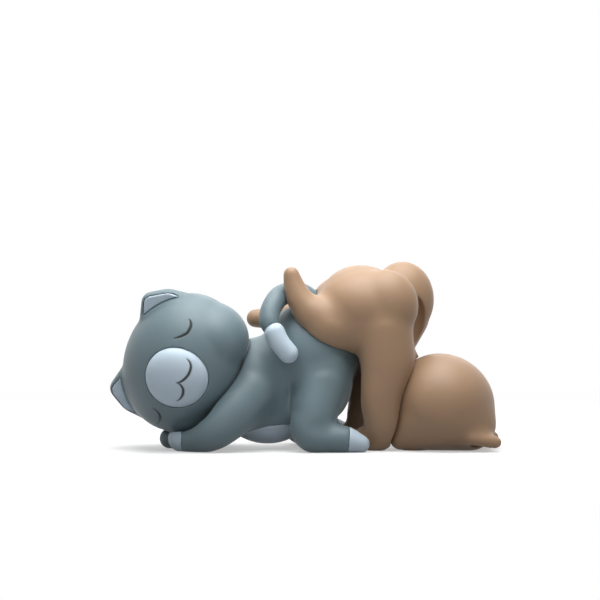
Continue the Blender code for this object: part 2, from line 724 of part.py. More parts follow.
def build_brown_cat(brown, tan, light_tan, acetal, grey_skin, grey_tail_form):
    """The upper cat, nested on the lower one."""
    skin = blend("brown_body_skin", brown, BROWN_MASSES.values(),
                 [BROWN_NECK, BROWN_NEAR_ARM, BROWN_FAR_ARM, BROWN_NEAR_LEG, BROWN_FAR_LEG], BODY_GRAIN,
                 BROWN_BODY_TRIANGLES)
    tail_form = tail_skin("brown_tail_skin", brown, BROWN_TAIL)
    body = piece("brown_body", skin.data.copy(), brown, tan)
    nest = grown("grey_body_nest", grey_skin, NEST_GAP)
    boolean(body, nest)
    boolean(body, grown("grey_tail_nest", grey_tail_form, NEST_GAP))
    boolean(body, ellipsoid("brown_throat", brown, *BROWN_THROAT))

    frame = head_frame("brown_head_frame", BROWN_HEAD, brown)
    head_form = head_skin("brown_head_skin", frame, BROWN_HEAD)
    neck = build_head("brown", frame, head_form, BROWN_HEAD, tan, light_tan, acetal)
    room = swept_room("brown_head_room_swept", frame, head_form.data, BROWN_HEAD_LIMIT)
    clear_head(body, frame, BROWN_HEAD, room)
    for cutter in neck:
        boolean(body, cutter)
    boolean(body, grown("brown_tail_socket", tail_form, SEAM_GAP))
    boolean(body, hollow("brown_body_room", brown, [BROWN_MASSES["torso"]]))
    shade(body)
    tail = piece("brown_tail", tail_form.data.copy(), brown, tan)
    boolean(tail, nest)
    shade(tail)


def build():
    slate = vinyl("slate_vinyl", SLATE)
    pale_blue = vinyl("pale_blue_vinyl", PALE_BLUE)
    tan = vinyl("tan_vinyl", TAN)
    light_tan = vinyl("light_tan_vinyl", LIGHT_TAN)
    acetal = vinyl("natural_acetal", ACETAL, roughness=0.35)

    stand = empty("stand", Matrix.Translation(in_metres(STAND_SHIFT)))
    grey = empty("grey_cat_frame", turned_about(GREY_TURN, GREY_PIVOT), stand)
    brown = empty("brown_cat_frame", turned_about(BROWN_TURN, BROWN_PIVOT), stand)
    grey_skin, grey_tail_form = build_grey_cat(grey, slate, pale_blue, acetal)
    build_brown_cat(brown, tan, light_tan, acetal, grey_skin, grey_tail_form)

    table = block("table", stand, (-TABLE_REACH, -TABLE_REACH, -TABLE_REACH), (TABLE_REACH, TABLE_REACH, 0))
    for name in ("grey_body", "grey_near_paw", "grey_near_toe", "grey_far_toe", "brown_body", "brown_head",
                 "brown_muzzle"):
        boolean(bpy.data.objects[name], table)


build()
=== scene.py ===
# %% [markdown]
# # Two sleeping vinyl cats
# The toy is a grey cat crouched with its cheek on its paws and a brown cat draped over its rump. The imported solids
# are loaded first and stay the fixed frame: they say how large the toy is and how its four bodies move. This file
# then rebuilds the outer mouldings with a much finer skin, in the same places, and gives every surface its finish.

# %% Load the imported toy
import json
import math
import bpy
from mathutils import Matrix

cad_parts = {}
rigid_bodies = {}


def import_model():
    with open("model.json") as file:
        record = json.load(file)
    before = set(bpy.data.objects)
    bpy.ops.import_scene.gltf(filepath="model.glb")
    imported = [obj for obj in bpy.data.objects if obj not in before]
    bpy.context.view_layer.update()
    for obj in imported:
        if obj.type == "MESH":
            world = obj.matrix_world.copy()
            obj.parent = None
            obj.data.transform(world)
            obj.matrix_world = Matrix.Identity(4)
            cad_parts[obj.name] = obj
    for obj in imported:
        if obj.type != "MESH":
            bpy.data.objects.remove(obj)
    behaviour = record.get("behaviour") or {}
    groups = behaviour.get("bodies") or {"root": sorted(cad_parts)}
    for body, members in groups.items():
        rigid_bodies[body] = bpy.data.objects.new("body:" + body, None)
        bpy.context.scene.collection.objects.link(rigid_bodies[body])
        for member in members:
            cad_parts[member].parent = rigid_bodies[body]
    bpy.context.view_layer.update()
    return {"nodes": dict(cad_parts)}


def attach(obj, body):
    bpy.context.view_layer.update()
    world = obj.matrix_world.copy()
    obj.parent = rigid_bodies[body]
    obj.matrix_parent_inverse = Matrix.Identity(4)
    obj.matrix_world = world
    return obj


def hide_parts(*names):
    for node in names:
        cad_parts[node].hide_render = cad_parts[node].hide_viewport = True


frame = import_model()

from types import SimpleNamespace

import bmesh
import bpy
import numpy as np
from mathutils import Matrix, Vector
from mathutils.bvhtree import BVHTree
from mathutils.kdtree import KDTree

print("pieces:", len(frame["nodes"]))

# %% [markdown]
# ## One frame for everything
# A toy sculptor thinks in millimetres and in one cat at a time. So each cat keeps a frame of its own, whose middle
# plane is y = 0, and the sizes below are millimetres in that frame. The grey cat is turned a little to one side and
# the brown cat a little to the other, and the pair is then shifted so that its outline is centred over the origin.
# Only at the very end is a mesh scaled to metres, and its object stays at the origin.

# %% The cats' frames
MM = 0.001
STAND_SHIFT = Vector((0.384, -3.176, 0.0))


def turned_about(angle, pivot):
    """A turn about the vertical through a point."""
    spot = Matrix.Translation(pivot)
    return spot @ Matrix.Rotation(math.radians(angle), 4, "Z") @ spot.inverted()


GREY_CAT = turned_about(6, (0, 0, 0))
BROWN_CAT = turned_about(-11.5, (34, 0, 0))
TO_WORLD = Matrix.Scale(MM, 4) @ Matrix.Translation(STAND_SHIFT)
print("the toy is shifted by", [round(value, 2) for value in STAND_SHIFT], "mm")

# %% [markdown]
# ## Shaping with temporary objects
# Blender's modifiers work on objects, but all that is wanted here is the mesh that comes out. Operators could do the
# same, but they depend on what is selected. So this helper hangs a mesh on a throwaway object, lets the modifiers do
# their work, and keeps the result as plain data. Cutting one form with another goes the same way. The manifold solver
# is quick on dense closed skins, which is what these are.

# %% Reworking and cutting meshes
def reworked(mesh, *steps):
    """The mesh after a row of modifiers, each given as its kind and its settings."""
    thing = bpy.data.objects.new("in work", mesh)
    bpy.context.scene.collection.objects.link(thing)
    for kind, settings in steps:
        modifier = thing.modifiers.new(kind.lower(), kind)
        for key, value in settings.items():
            setattr(modifier, key, value)
    bpy.context.view_layer.update()
    result = bpy.data.meshes.new_from_object(thing.evaluated_get(bpy.context.evaluated_depsgraph_get()))
    bpy.data.objects.remove(thing)
    return result


def cut(mesh, tool, operation="DIFFERENCE"):
    """One closed form less another, or only what the two share."""
    knife = bpy.data.objects.new("knife", tool)
    bpy.context.scene.collection.objects.link(knife)
    result = reworked(mesh, ("BOOLEAN", dict(operation=operation, object=knife, solver="MANIFOLD")))
    bpy.data.objects.remove(knife)
    return result


def placed(mesh, matrix):
    """A copy of a mesh in another frame."""
    moved = mesh.copy()
    moved.transform(matrix)
    return moved


def closed_mesh(bm):
    """The finished mesh of a bmesh, with its faces pointing outwards."""
    bmesh.ops.recalc_face_normals(bm, faces=bm.faces)
    mesh = bpy.data.meshes.new("form")
    bm.to_mesh(mesh)
    bm.free()
    return mesh


# %% [markdown]
# ## Balls and limbs
# A sculptor would build such a figure from balls of clay with rolled sausages for the limbs, and smear the joins
# away. The balls here are stretched spheres, and a few forms are the tight skin round several balls or circles. A
# limb is a thick line whose radius changes from station to station. A row of balls or the Skin modifier could make
# it, but neither is even along the way. It is a shape that follows a path, so it is made with Geometry Nodes: the
# line becomes a smooth curve, a ring is swept along it, and a ball closes each end.

# %% Balls
BALL_SIDES = 72


def add_ball(bm, centre, half_sizes, grow=0.0, sides=BALL_SIDES):
    """A stretched ball, grown by so much all round."""
    sizes = Vector(half_sizes) + Vector((grow, grow, grow))
    matrix = Matrix.Translation(centre) @ Matrix.Diagonal((*sizes, 1))
    bmesh.ops.create_uvsphere(bm, u_segments=sides, v_segments=sides // 2, radius=1, matrix=matrix)


def ball(centre, half_sizes, grow=0.0, sides=BALL_SIDES):
    """A stretched ball as a mesh of its own."""
    bm = bmesh.new()
    add_ball(bm, centre, half_sizes, grow, sides)
    return closed_mesh(bm)


def add_tight_skin(bm, points):
    """The tight skin round some points, without the points that it leaves inside."""
    hull = bmesh.ops.convex_hull(bm, input=points)
    inner = [item for item in hull["geom_interior"] if isinstance(item, bmesh.types.BMVert)]
    bmesh.ops.delete(bm, geom=inner, context="VERTS")


# %% The limb tree
def limb_tree():
    """Geometry Nodes that sweep a ring along a line of stations and close both ends with balls."""
    tree = bpy.data.node_groups.new("rolled limb", "GeometryNodeTree")
    for label, kind in (("Line", "Geometry"), ("Step length", "Float"), ("Sides", "Int"), ("Finish", "Material")):
        tree.interface.new_socket(label, in_out="INPUT", socket_type="NodeSocket" + kind)
    tree.interface.new_socket("Limb", in_out="OUTPUT", socket_type="NodeSocketGeometry")

    def add(kind, **settings):
        node = tree.nodes.new(kind)
        for key, value in settings.items():
            setattr(node, key, value)
        return node

    start = add("NodeGroupInput")
    thickness = add("GeometryNodeInputNamedAttribute", data_type="FLOAT")
    thickness.inputs["Name"].default_value = "thickness"
    to_curve = add("GeometryNodeMeshToCurve")
    bezier = add("GeometryNodeCurveSplineType", spline_type="BEZIER")
    handles = add("GeometryNodeCurveSetHandles", handle_type="AUTO", mode={"LEFT", "RIGHT"})
    thick = add("GeometryNodeSetCurveRadius")
    even = add("GeometryNodeResampleCurve", mode="LENGTH")
    ring = add("GeometryNodeCurvePrimitiveCircle", mode="RADIUS")
    ring.inputs["Radius"].default_value = 1
    radius = add("GeometryNodeInputRadius")
    sweep = add("GeometryNodeCurveToMesh")
    sweep.inputs["Fill Caps"].default_value = True
    ends = add("GeometryNodeCurveEndpointSelection")
    half = add("ShaderNodeMath", operation="MULTIPLY")
    half.inputs[1].default_value = 0.5
    end_ball = add("GeometryNodeMeshUVSphere")
    end_ball.inputs["Radius"].default_value = 1
    instances = add("GeometryNodeInstanceOnPoints")
    join = add("GeometryNodeJoinGeometry")
    real = add("GeometryNodeRealizeInstances")
    paint = add("GeometryNodeSetMaterial")
    finish = add("NodeGroupOutput")
    for source, output, target, socket in (
            (start, "Line", to_curve, "Mesh"), (to_curve, "Curve", bezier, "Curve"),
            (bezier, "Curve", handles, "Curve"), (handles, "Curve", thick, "Curve"),
            (thickness, "Attribute", thick, "Radius"), (thick, "Curve", even, "Curve"),
            (start, "Step length", even, "Length"), (start, "Sides", ring, "Resolution"),
            (even, "Curve", sweep, "Curve"), (ring, "Curve", sweep, "Profile Curve"), (radius, 0, sweep, "Scale"),
            (start, "Sides", end_ball, "Segments"), (start, "Sides", half, 0), (half, 0, end_ball, "Rings"),
            (thick, "Curve", instances, "Points"), (ends, 0, instances, "Selection"),
            (end_ball, "Mesh", instances, "Instance"), (radius, 0, instances, "Scale"),
            (sweep, "Mesh", join, "Geometry"), (instances, "Instances", join, "Geometry"),
            (join, "Geometry", real, "Geometry"), (real, "Geometry", paint, "Geometry"),
            (start, "Finish", paint, "Material"), (paint, "Geometry", finish, "Limb")):
        tree.links.new(source.outputs[output], target.inputs[socket])
    return tree


LIMB_TREE = limb_tree()
print("limb tree:", len(LIMB_TREE.nodes), "nodes")

# %% One limb
RAW_VINYL = bpy.data.materials.new("unpainted vinyl")
LIMB_STEP = 0.8
LIMB_SIDES = 48


def limb(stations, grow):
    """The mesh of one limb, from its stations of x, y, z and radius, grown by so much all round."""
    line = bpy.data.meshes.new("line")
    line.from_pydata([station[:3] for station in stations], [(i, i + 1) for i in range(len(stations) - 1)], [])
    thickness = line.attributes.new("thickness", "FLOAT", "POINT")
    thickness.data.foreach_set("value", [station[3] + grow for station in stations])
    thing = bpy.data.objects.new("limb", line)
    bpy.context.scene.collection.objects.link(thing)
    nodes = thing.modifiers.new("limb", "NODES")
    nodes.node_group = LIMB_TREE
    values = {"Step length": LIMB_STEP, "Sides": LIMB_SIDES, "Finish": RAW_VINYL}
    for item in LIMB_TREE.interface.items_tree:
        if item.in_out == "INPUT" and item.name in values:
            nodes[item.identifier] = values[item.name]
    bpy.context.view_layer.update()
    result = bpy.data.meshes.new_from_object(thing.evaluated_get(bpy.context.evaluated_depsgraph_get()))
    bpy.data.objects.remove(thing)
    result.materials.clear()
    return result


def other_side(stations):
    """The same limb on the cat's other side."""
    return [(x, -y, z, radius) for x, y, z, radius in stations]


# %% [markdown]
# ## Smearing the joins away
# A voxel remesh swallows all the overlapping balls and limbs and gives back one even skin. A smoothing pass then
# rounds the creases, just as a wet thumb does on clay. How far it rounds depends on the grain of the mesh and on the
# number of passes together, so the passes are worked out from the roundness that is wanted, in millimetres.

# %% Fusing forms into one skin
PASS_SHARE = 0.5  # how far each pass moves a point towards the middle of its neighbours


def passes_for(roundness, grain):
    """How many passes round a mesh of this grain by so much."""
    return round((roundness / grain) ** 2 / PASS_SHARE)


def fused(mesh, grain, roundness):
    """One even closed skin of this grain round everything in a mesh, with its creases rounded by so much."""
    return reworked(mesh, ("REMESH", dict(mode="VOXEL", voxel_size=grain, use_smooth_shade=True)),
                    ("SMOOTH", dict(factor=PASS_SHARE, iterations=passes_for(roundness, grain))))


def blended(masses, limbs, grain, roundness, grow=0.0):
    """Masses and limbs run together into one closed skin, grown by so much all round."""
    bm = bmesh.new()
    for centre, half_sizes in masses:
        add_ball(bm, centre, half_sizes, grow)
    for stations in limbs:
        bm.from_mesh(limb(stations, grow))
    return fused(closed_mesh(bm), grain, roundness)


# %% [markdown]
# A smoothing pass wears the round forms down as fast as it fills the hollow ones. So the deep creases, such as the
# one between a shoulder and the back, are filled by a gentler tool: pass by pass, a point that lies below its
# neighbours is raised towards them, and a point that lies above them stays.

# %% Filling creases
NORMALS_EVERY = 8  # passes after which the directions outwards are measured again


def filled(mesh, roundness, grain):
    """Raise the hollow places of a skin until its creases are about this round."""
    count = len(mesh.vertices)
    points = np.empty(count * 3)
    mesh.vertices.foreach_get("co", points)
    points = points.reshape(-1, 3)
    ends = np.empty(len(mesh.edges) * 2, dtype=np.int64)
    mesh.edges.foreach_get("vertices", ends)
    ends = ends.reshape(-1, 2)
    here = np.concatenate((ends[:, 0], ends[:, 1]))
    there = np.concatenate((ends[:, 1], ends[:, 0]))
    neighbours = np.bincount(here, minlength=count)[:, None]
    normals = np.empty(count * 3)
    for turn in range(passes_for(roundness, grain)):
        if turn % NORMALS_EVERY == 0:
            mesh.vertices.foreach_set("co", points.ravel())
            mesh.update()
            mesh.vertices.foreach_get("normal", normals)
            outwards = normals.reshape(-1, 3)
        mean = np.stack([np.bincount(here, points[there, axis], count) for axis in range(3)], axis=1) / neighbours
        lift = np.clip(((mean - points) * outwards).sum(axis=1, keepdims=True), 0, None)
        points = points + PASS_SHARE * lift * outwards
    mesh.vertices.foreach_set("co", points.ravel())
    mesh.update()
    return mesh


# %% [markdown]
# ## The grey cat's body
# The chest, rump and belly are balls, and each leg is a limb that ends in a flat-footed paw. It could be sculpted by
# hand, but a size in a table is easier to compare with the photograph and to change by itself. The sizes are the ones
# that the solids were made from, brought a little nearer to the photograph here and there, so the fine skin lies on
# top of the solids or within a few millimetres of them.

# %% Sizes of the grey cat's body
GREY_MASSES = {
    "chest": ((-25, 0, 33), (23, 22, 25)),
    "rump": ((2.5, 0, 49.5), (25.5, 26, 27)),
    "belly": ((-20, 0, 23), (25, 18, 20.5)),
    "nape": ((-33, 0, 34.5), (17, 17, 17)),
    "near haunch": ((7.2, -13, 37.5), (16, 14, 23.5)),
    "far haunch": ((7.6, 13, 37), (16.5, 14, 24)),
}
GREY_NEAR_ARM = [(-29, -12, 30, 14), (-40.5, -18, 19, 12), (-51, -19.5, 10.4, 10), (-58, -16, 7.4, 8.2),
                 (-66.5, -11, 6.3, 6.8)]
GREY_FAR_ARM = [(-29, 12, 30, 14), (-40.5, 18, 19, 12), (-51, 19.5, 10.4, 10), (-60, 15, 7.2, 7.6),
                (-70.5, 7, 5.2, 5.6)]
GREY_NEAR_LEG = [(6.5, -15.3, 34, 14.5), (2, -22, 19, 12), (0, -25, 10, 9.8), (8.5, -27, 7.2, 7.6),
                 (18, -28, 6.5, 7.2), (25.6, -28.3, 4.2, 4.9)]
GREY_TAIL = [(8, 2, 64, 6.6), (3, 0.5, 75, 6.5), (-3.5, -1, 80.5, 6), (-11.5, -7, 81, 5.6), (-18.5, -16, 76.5, 5.4),
             (-21.5, -22.5, 68, 5.3), (-17.5, -26, 59, 5.3), (-12, -27, 51.5, 5.2)]

# %% The outer forms of the grey body and of a tail
BODY_GRAIN = 0.75
BODY_ROUNDNESS = 3.0
BODY_FILL = 10.0  # how round its deep creases become
TAIL_GRAIN = 0.45
TAIL_ROUNDNESS = 1.3


def grey_body_form(grow=0.0):
    """The grey body before anything is cut, in the toy's frame, grown by so much."""
    limbs = [GREY_NEAR_ARM, GREY_FAR_ARM, GREY_NEAR_LEG, other_side(GREY_NEAR_LEG)]
    form = blended(GREY_MASSES.values(), limbs, BODY_GRAIN, BODY_ROUNDNESS, grow)
    return placed(filled(form, BODY_FILL, BODY_GRAIN), GREY_CAT)


def tail_form(stations, cat, grow=0.0):
    """A cat's tail, or a part of one, in the toy's frame."""
    return placed(blended([], [stations], TAIL_GRAIN, TAIL_ROUNDNESS, grow), cat)


grey_form = grey_body_form()
print("grey body skin:", len(grey_form.polygons), "faces")

# %% [markdown]
# ## The heads
# Each head is a squashed ball with two cheeks and two ears. An ear is the tight skin round four balls at its corners,
# with one more behind them that swells its back. The brown cat sleeps face down, so pads fill its face out to the
# table. A head has a frame of its own: x is towards its left ear, -y is where it looks, and z is the neck's axis. The
# two heads differ only in their sizes, so one function makes both.

# %% Sizes of the heads
FAR = 100  # further than any part of a head reaches

# Places and half sizes are (x, y, z), and a pad or the back of an ear has its radius after them. The corners of an
# ear and of its hollow are (x, z). An ear's border is how far its hollow keeps clear of the skull, crease is how
# round the creases become, and neck_face is how far below the head's middle its neck ends.
GREY_HEAD = SimpleNamespace(
    centre=(-63.8, 0, 45.2), swing=-6, lean=-70, face_turn=-15.7, neck_face=28.4,
    skull=(37.3, 32, 31), cheek=(19, 22, 20.5), cheek_place=(18, -2, -8.5), pads=(), crease=2,
    ear_depth=0, ear_slope=0, ear_corners=((10, 22), (25.3, 26.4), (30, 18.8), (31.5, 8)),
    ear_round=(6.2, 5.6, 5.6, 5.4), ear_back=(20, 4, 14, 9), ear_border=0.9,
    hollow_corners=((15, 24.5), (25.3, 26), (29.9, 18.7), (31.2, 12)), hollow_round=(2.8, 4.4, 4.4, 3.4),
    pocket_front=FAR, muzzle=(16.4, 9.5, 16.4), muzzle_place=(0.8, -26.15, 1.1))
BROWN_HEAD = SimpleNamespace(
    centre=(72.5, 0, 24.8), swing=13, lean=122, face_turn=90, neck_face=24.6,
    skull=(27, 24.4, 27), cheek=(13.5, 17, 15), cheek_place=(12.5, -1, -5),
    pads=((0, -23.1, -7, 9.2), (10, -13.3, 3, 10), (-10, -13.3, 3, 10), (6, -2.7, 17.2, 13.7),
          (-6, -2.7, 17.2, 13.7), (5, -28.5, -9.3, 5.5), (-5, -28.5, -9.3, 5.5)), crease=8,
    ear_depth=-3, ear_slope=0.38, ear_corners=((10, 20), (17, 32.7), (18, 21), (15, 15)),
    ear_round=(4.2, 3.4, 3.8, 3.8), ear_back=(14, 0.5, 16, 5), ear_border=2.5,
    hollow_corners=((13.2, 24.4), (16.8, 31), (17.3, 24.4)), hollow_round=(1.6, 1.6, 2.2),
    pocket_front=5, muzzle=(10.5, 12, 10.5), muzzle_place=(0, -22, -3))

# %% Where the heads sit
def head_frame(sizes, cat):
    """The frame of a head, whose z axis is the axis that it turns on."""
    swing = Matrix.Rotation(math.radians(sizes.swing), 4, "Z")
    lean = Matrix.Rotation(math.radians(sizes.lean), 4, "Y")
    face = Matrix.Rotation(math.radians(sizes.face_turn), 4, "Z")
    return cat @ Matrix.Translation(sizes.centre) @ swing @ lean @ face


GREY_HEAD.frame = head_frame(GREY_HEAD, GREY_CAT)
BROWN_HEAD.frame = head_frame(BROWN_HEAD, BROWN_CAT)
print("heads at", [[round(value) for value in sizes.frame.translation] for sizes in (GREY_HEAD, BROWN_HEAD)])

# %% The outer form of a head
WRAP_SIDES = 40
HEAD_GRAIN = 0.6
HEAD_ROUNDNESS = 3.0


def add_wrap(bm, balls):
    """The tight skin round a few balls, each with a centre and half sizes."""
    points = []
    for centre, half_sizes in balls:
        for ring in range(WRAP_SIDES // 2 + 1):
            slope = math.tau * ring / WRAP_SIDES
            for step in range(WRAP_SIDES):
                turn = math.tau * step / WRAP_SIDES
                offset = Vector((math.sin(slope) * math.cos(turn), math.sin(slope) * math.sin(turn), math.cos(slope)))
                points.append(bm.verts.new(Vector(centre) + offset * Vector(half_sizes)))
    add_tight_skin(bm, points)


def ear_level(sizes, z):
    """How far forward or back an ear's middle lies at this height. A sloping ear leans away from its tip."""
    return sizes.ear_depth + sizes.ear_slope * (z - sizes.ear_corners[1][1])


def head_form(sizes):
    """The outer form of a head with its ears, before anything is cut."""
    x, y, z = sizes.cheek_place
    back_x, back_y, back_z, back_round = sizes.ear_back
    bm = bmesh.new()
    add_ball(bm, (0, 0, 0), sizes.skull)
    for side in (1, -1):
        add_ball(bm, (side * x, y, z), sizes.cheek)
        corners = [((side * cx, ear_level(sizes, cz), cz), (radius,) * 3)
                   for (cx, cz), radius in zip(sizes.ear_corners, sizes.ear_round)]
        add_wrap(bm, corners + [((side * back_x, ear_level(sizes, back_z) + back_y, back_z), (back_round,) * 3)])
    if sizes.pads:
        add_wrap(bm, [((0, 0, 0), sizes.skull)] + [(pad[:3], (pad[3],) * 3) for pad in sizes.pads])
    return filled(fused(closed_mesh(bm), HEAD_GRAIN, HEAD_ROUNDNESS), sizes.crease, HEAD_GRAIN)


GREY_HEAD.form = head_form(GREY_HEAD)
BROWN_HEAD.form = head_form(BROWN_HEAD)
print("grey head skin:", len(GREY_HEAD.form.polygons), "faces; brown head:", len(BROWN_HEAD.form.polygons))

# %% [markdown]
# ## Necks and seats
# Each head is clamped by a flanged spool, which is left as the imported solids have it. What the spool needs is a hole
# through both walls and a well for either flange. The muzzle lies in a round seat in the face, and each ear has a
# pocket for its pale lining. Paint could give the same picture, but on the toy these are pieces of their own. So the
# seats are cut with a form that is a hair larger than what goes into them.

# %% Rods, blocks and prisms
ROD_SIDES = 64
HOLLOW_SIDES = 48


def rod(start, end, radius):
    """A cylinder between two points."""
    axis = Vector(end) - Vector(start)
    turn = axis.to_track_quat("Z", "Y").to_matrix().to_4x4()
    bm = bmesh.new()
    bmesh.ops.create_cone(bm, cap_ends=True, segments=ROD_SIDES, radius1=radius, radius2=radius, depth=axis.length,
                          matrix=Matrix.Translation((Vector(start) + Vector(end)) / 2) @ turn)
    return closed_mesh(bm)


def block(low, high):
    """A box between two corners."""
    bm = bmesh.new()
    size = Vector(high) - Vector(low)
    middle = (Vector(high) + Vector(low)) / 2
    bmesh.ops.create_cube(bm, size=1, matrix=Matrix.Translation(middle) @ Matrix.Diagonal((*size, 1)))
    return closed_mesh(bm)


def ear_prism(sizes, side, shrink, front, back):
    """The hollow in front of an ear, drawn in all round by so much, between two depths."""
    bm = bmesh.new()
    points = []
    for (x, z), radius in zip(sizes.hollow_corners, sizes.hollow_round):
        for step in range(HOLLOW_SIDES):
            turn = math.tau * step / HOLLOW_SIDES
            for depth in (front, back):
                height = z + (radius - shrink) * math.sin(turn)
                points.append(bm.verts.new((side * x + (radius - shrink) * math.cos(turn),
                                            ear_level(sizes, height) + depth, height)))
    add_tight_skin(bm, points)
    return closed_mesh(bm)


# %% Walls, gaps and grains of the heads
SEAM = 0.2  # gap that shows round an inlaid piece
INLAY_DEPTH = 1.6
EAR_WEB = 0.4  # how far in front of an ear's middle its web stands
LINING_THICKNESS = 3.2
HEAD_WALL = 3.2
NECK_WALL = 2.6
STEM_RADIUS = 6
FLANGE_RADIUS = 8.6
FLANGE_THICKNESS = 2
TURNING_GAP = 0.5
SPOOL_GAP = 0.3
MUZZLE_SIDES = 160
SKULL_SIDES = 96
ROOM_SIDES = 40
RIM_GRAIN = 0.52  # grain of the last skin, which rounds the rims of seats and pockets
RIM_ROUNDNESS = 0.6
LINING_GRAIN = 0.3
MUZZLE_GRAIN = 0.4
MUZZLE_ROUNDNESS = 0.45
LIP_ROUNDNESS = 0.5
print("head walls", HEAD_WALL, "mm, gap round a turning head", TURNING_GAP, "mm")

# %% A head with its muzzle and ear linings
def build_head(sizes):
    """Cut the seats, pockets and neck of a head, and make what lies in them. All in the head's own frame."""
    face = -sizes.neck_face
    inner_face = face + NECK_WALL

    def skull(grow, sides=SKULL_SIDES):
        return ball((0, 0, 0), sizes.skull, grow, sides)

    head = cut(sizes.form, block((-FAR, -FAR, -FAR), (FAR, FAR, face)))
    seat = cut(ball(sizes.muzzle_place, sizes.muzzle, SEAM, MUZZLE_SIDES), skull(-INLAY_DEPTH))
    head = cut(head, seat)
    muzzle = cut(ball(sizes.muzzle_place, sizes.muzzle, 0, MUZZLE_SIDES), skull(SEAM - INLAY_DEPTH))
    linings = []
    for side in (1, -1):
        pocket = ear_prism(sizes, side, 0, -sizes.pocket_front, -EAR_WEB)
        head = cut(head, cut(pocket, skull(sizes.ear_border)))
        lining = ear_prism(sizes, side, SEAM, -EAR_WEB - LINING_THICKNESS, -EAR_WEB - SEAM)
        linings.append(fused(cut(lining, skull(sizes.ear_border + SEAM)), LINING_GRAIN, LIP_ROUNDNESS))
    head = fused(head, RIM_GRAIN, RIM_ROUNDNESS)
    head = cut(head, cut(skull(-HEAD_WALL, ROOM_SIDES), block((-FAR, -FAR, -FAR), (FAR, FAR, inner_face))))
    well_roof = inner_face + FLANGE_THICKNESS + 2 * TURNING_GAP
    head = cut(head, rod((0, 0, inner_face), (0, 0, well_roof), FLANGE_RADIUS + TURNING_GAP))
    head = cut(head, rod((0, 0, face - 2 * NECK_WALL), (0, 0, face + 2 * NECK_WALL), STEM_RADIUS + SPOOL_GAP))
    return head, fused(muzzle, MUZZLE_GRAIN, MUZZLE_ROUNDNESS), linings


grey_head, grey_muzzle, grey_linings = build_head(GREY_HEAD)
brown_head, brown_muzzle, brown_linings = build_head(BROWN_HEAD)
print("grey head:", len(grey_head.polygons), "faces, muzzle", len(grey_muzzle.polygons))

# %% [markdown]
# ## Mouth and closed eyes
# On the real toy these are fine lines pressed into the vinyl. A bump in the paint would look flat from the side, and
# a thin cutter would leave sharp rims. A line that fine needs a finer mesh than the rest, so only the faces near it
# are divided, and the new points are then pushed in along their normals. How deep a point lies in the line is also
# stored as an attribute, which the material reads later on to paint shade into the bottom of the groove.

# %% Laying a line on a face
LINE_HALF_WIDTH = 0.62
LINE_DEPTH = 0.7
LINE_TAPER = 0.4  # share of a line's length over which it runs out at either end
LINE_SAMPLES = 16
FIRST_REACH = 2.0  # how far from a line the mesh is divided once
LINE_REACH = 1.4  # how far from a line it is divided once more and evened out
EVENING_PASSES = 6


def smooth_line(points):
    """Points close together on a soft curve through a few given ones."""
    rows = [Vector(point) for point in points]
    rows = [2 * rows[0] - rows[1]] + rows + [2 * rows[-1] - rows[-2]]
    line = []
    for before, start, end, after in zip(rows, rows[1:], rows[2:], rows[3:]):
        for sample in range(LINE_SAMPLES):
            t = sample / LINE_SAMPLES
            line.append(0.5 * (2 * start + (end - before) * t + (2 * before - 5 * start + 4 * end - after) * t ** 2
                               + (3 * start - before - 3 * end + after) * t ** 3))
    return line + [rows[-2]]


def on_face(mesh, line):
    """Lay a line of x and z places on the front of a face, as seen along its y axis."""
    tree = BVHTree.FromPolygons([v.co for v in mesh.vertices], [p.vertices for p in mesh.polygons])
    return [tree.ray_cast(Vector((x, -FAR, z)), Vector((0, 1, 0)))[0] for x, z in line]


# %% Pressing the lines in
def press_lines(mesh, lines):
    """Press grooves into a mesh along lines of x and z places."""
    laid = [smooth_line(on_face(mesh, line)) for line in lines]
    samples = [(point, i / (len(line) - 1)) for line in laid for i, point in enumerate(line)]
    finder = KDTree(len(samples))
    for index, (point, _) in enumerate(samples):
        finder.insert(point, index)
    finder.balance()
    bm = bmesh.new()
    bm.from_mesh(mesh)
    groove = bm.verts.layers.float.new("groove")
    for reach in (FIRST_REACH, LINE_REACH):
        near = {vert for vert in bm.verts if finder.find(vert.co)[2] < reach}
        edges = [edge for edge in bm.edges if edge.verts[0] in near and edge.verts[1] in near]
        bmesh.ops.subdivide_edges(bm, edges=edges, cuts=1, use_grid_fill=True)
    near = [vert for vert in bm.verts if finder.find(vert.co)[2] < LINE_REACH]
    for _ in range(EVENING_PASSES):
        bmesh.ops.smooth_vert(bm, verts=near, factor=0.5, use_axis_x=True, use_axis_y=True, use_axis_z=True)
    bm.normal_update()
    moves = []
    for vert in near:
        _, index, distance = finder.find(vert.co)
        share = samples[index][1]
        taper = min(1.0, share / LINE_TAPER, (1 - share) / LINE_TAPER) ** 0.5
        pressed = math.exp(-(distance / (LINE_HALF_WIDTH * (0.5 + 0.5 * taper))) ** 2) * taper
        vert[groove] = pressed
        moves.append((vert, vert.normal * (-LINE_DEPTH * pressed)))
    for vert, move in moves:
        vert.co += move
    result = bpy.data.meshes.new("face")
    bm.to_mesh(result)
    bm.free()
    return result


# %% The grey cat's mouth and eyes
MOUTH = [
    [(14.11, 0.21), (12.82, -2.43), (10.57, -3.88), (6.69, -3.84), (3.13, -2.18), (1.4, -0.54), (0.82, 0.97)],
    [(0.82, 0.97), (0.81, -1.3), (-1.01, -3.63), (-3.11, -4.56), (-5.57, -4.66), (-7.98, -3.96), (-9.69, -2.52)],
]
LEFT_EYE = [(29.97, 5.86), (29.15, 4.25), (27.6, 3.39), (24.63, 3.89), (22.29, 5.98), (20.6, 8.1), (19.2, 9.9)]
RIGHT_EYE = [(-20.25, 7.58), (-20.66, 5.18), (-22.19, 3.17), (-23.95, 2.01), (-26.76, 1.55), (-29.88, 2.22)]

